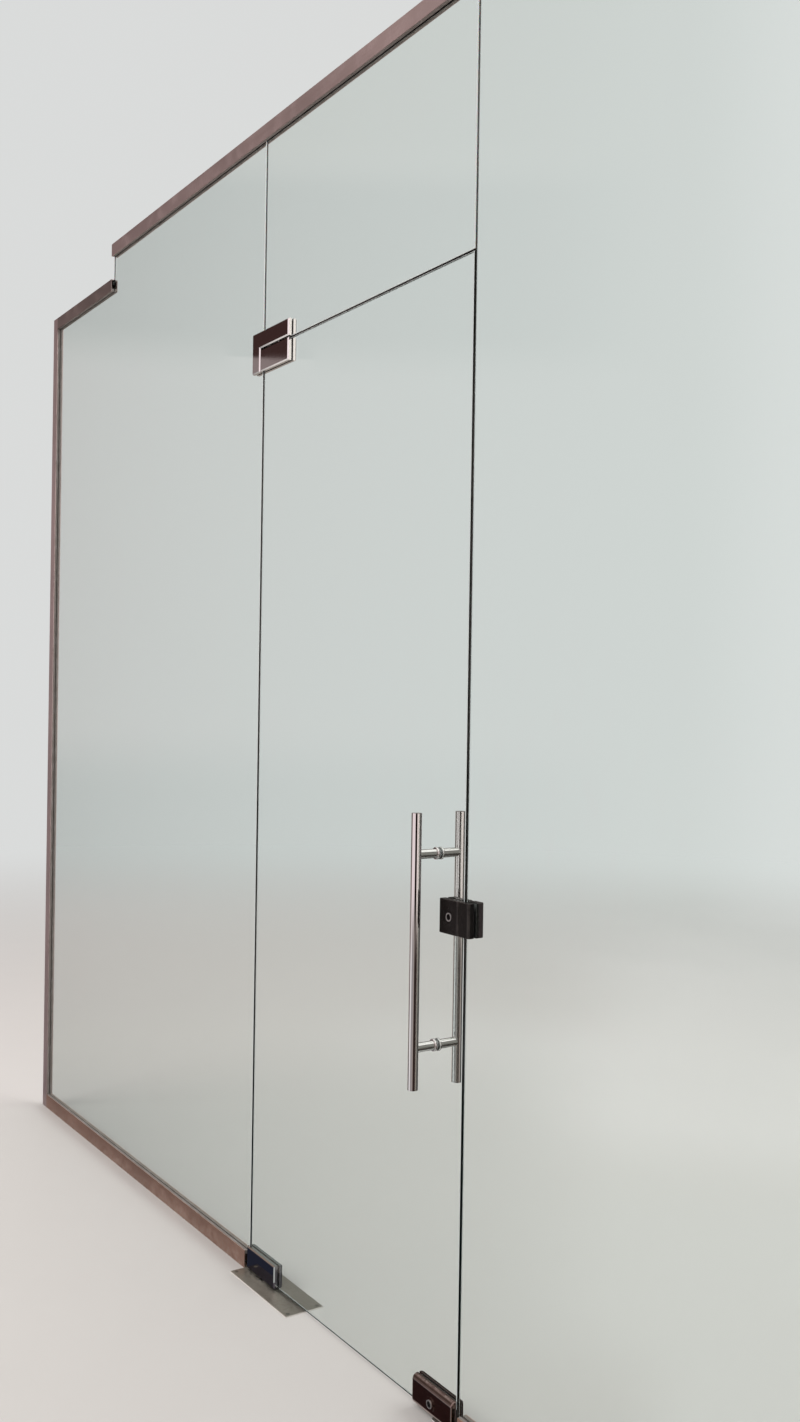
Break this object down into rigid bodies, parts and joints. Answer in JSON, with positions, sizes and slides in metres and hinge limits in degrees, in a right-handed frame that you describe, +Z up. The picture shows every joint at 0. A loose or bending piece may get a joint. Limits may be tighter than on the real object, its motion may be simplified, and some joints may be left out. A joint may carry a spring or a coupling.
{
  "type": "glass entrance door",
  "caption": "Frameless glass entrance screen with a pivoted leaf on patch fittings and a floor closer, tube pull handle, glass lock, corner lock and edge channels.",
  "frame": {"origin": "on the leaf's pivot axis at finished floor level, in the middle of the glass", "axes": "+X along the screen from the pivot to the lock, +Y into the room, +Z up"},
  "size_m": [3.116, 0.123, 2.67],
  "materials": {
    "fixed_glass": "clear toughened float glass with a faint green tint",
    "leaf_glass": "clear toughened float glass with a faint green tint",
    "floor_channel": "satin anodised, dusty and a little worn at foot height",
    "wall_channel": "satin anodised",
    "head_channel": "satin anodised",
    "bead_rubber": "dark grey glazing rubber",
    "block_rubber": "black rubber",
    "joint_silicone": "translucent silicone",
    "patch_cover": "polished stainless steel",
    "patch_casting": "as cast and milled",
    "liner": "black gasket",
    "pivot_steel": "turned steel",
    "bush_brass": "turned brass",
    "screw_steel": "bright steel",
    "tray_steel": "black paint",
    "closer_casting": "grey paint over cast iron",
    "floor_plate_steel": "satin stainless steel with scuffs",
    "keep_steel": "satin stainless steel",
    "lock_finish": "near-black bronze paint, satin",
    "corner_cover": "polished stainless steel",
    "cylinder_chrome": "polished",
    "plug_dark": "darkened brass",
    "bolt_steel": "bright steel",
    "handle_chrome": "polished stainless steel tube",
    "washer_nylon": "clear to white nylon"
  },
  "bodies": {
    "frame": {"ceiling_channel": "head_channel", "channel_beads": "bead_rubber", "closer_body": "closer_casting", "closer_cover_plate": "floor_plate_steel", "closer_plate_screws": "screw_steel", "closer_tray": "tray_steel", "end_channel": "wall_channel", "fixed_clamp_screws": "screw_steel", "fixed_liners": "liner", "floor_keep": "keep_steel", "joint_seals": "joint_silicone", "left_floor_channel": "floor_channel", "left_glass_panel": "fixed_glass", "over_panel_glass": "fixed_glass", "pivot_patch_body": "patch_casting", "pivot_patch_clamp_plate": "patch_casting", "pivot_patch_inner_cover": "patch_cover", "pivot_patch_outer_cover": "patch_cover", "right_floor_channel": "floor_channel", "right_glass_panel": "fixed_glass", "setting_blocks": "block_rubber", "soffit_channel": "head_channel", "strike_inner_case": "lock_finish", "strike_outer_case": "lock_finish", "top_pivot_pin": "pivot_steel", "wall_channel": "wall_channel"},
    "door_leaf": {"bottom_patch_body": "patch_casting", "bottom_patch_clamp_plate": "patch_casting", "bottom_patch_inner_cover": "patch_cover", "bottom_patch_outer_cover": "patch_cover", "closer_spindle": "pivot_steel", "corner_lock_body": "patch_casting", "corner_lock_clamp_plate": "patch_casting", "corner_lock_cylinder": "cylinder_chrome", "corner_lock_inner_cover": "corner_cover", "corner_lock_outer_cover": "corner_cover", "door_glass": "leaf_glass", "handle_collars": "handle_chrome", "handle_end_caps": "handle_chrome", "handle_posts": "handle_chrome", "handle_studs": "screw_steel", "handle_washers": "washer_nylon", "inner_handle_bar": "handle_chrome", "leaf_clamp_screws": "screw_steel", "leaf_liners": "liner", "lock_cylinder": "cylinder_chrome", "lock_inner_case": "lock_finish", "lock_outer_case": "lock_finish", "outer_handle_bar": "handle_chrome", "top_patch_body": "patch_casting", "top_patch_clamp_plate": "patch_casting", "top_patch_inner_cover": "patch_cover", "top_patch_outer_cover": "patch_cover", "top_pivot_bush": "bush_brass"},
    "lock_plug_body": {"lock_plug": "plug_dark", "lock_thumb_turn": "lock_finish"},
    "lock_bolt_body": {"lock_bolt": "bolt_steel"},
    "corner_plug_body": {"corner_lock_plug": "plug_dark"},
    "corner_bolt_body": {"corner_lock_bolt": "bolt_steel"}
  },
  "joints": [
    {"name": "door_swing", "type": "hinge", "parent": "frame", "child": "door_leaf", "pos_m": [0, 0, 0], "axis": [0, 0, 1], "range_deg": [-90, 90], "stiffness_Nm_per_rad": 12},
    {"name": "lock_plug_turn", "type": "hinge", "parent": "door_leaf", "child": "lock_plug_body", "pos_m": [0.698, 0, 0.917], "axis": [0, 1, 0], "range_deg": [0, 90]},
    {"name": "lock_bolt_throw", "type": "slide", "parent": "door_leaf", "child": "lock_bolt_body", "axis": [1, 0, 0], "range_m": [0, 0.012]},
    {"name": "corner_plug_turn", "type": "hinge", "parent": "door_leaf", "child": "corner_plug_body", "pos_m": [0.661, 0, 0.03], "axis": [0, 1, 0], "range_deg": [0, 90]},
    {"name": "corner_bolt_drop", "type": "slide", "parent": "door_leaf", "child": "corner_bolt_body", "axis": [0, 0, -1], "range_m": [0, 0.016]}
  ],
  "couplings": [
    {"joint": "lock_plug_turn", "follows": "lock_bolt_throw", "rad_per_m": 130.9},
    {"joint": "corner_plug_turn", "follows": "corner_bolt_drop", "rad_per_m": 98.175}
  ]
}
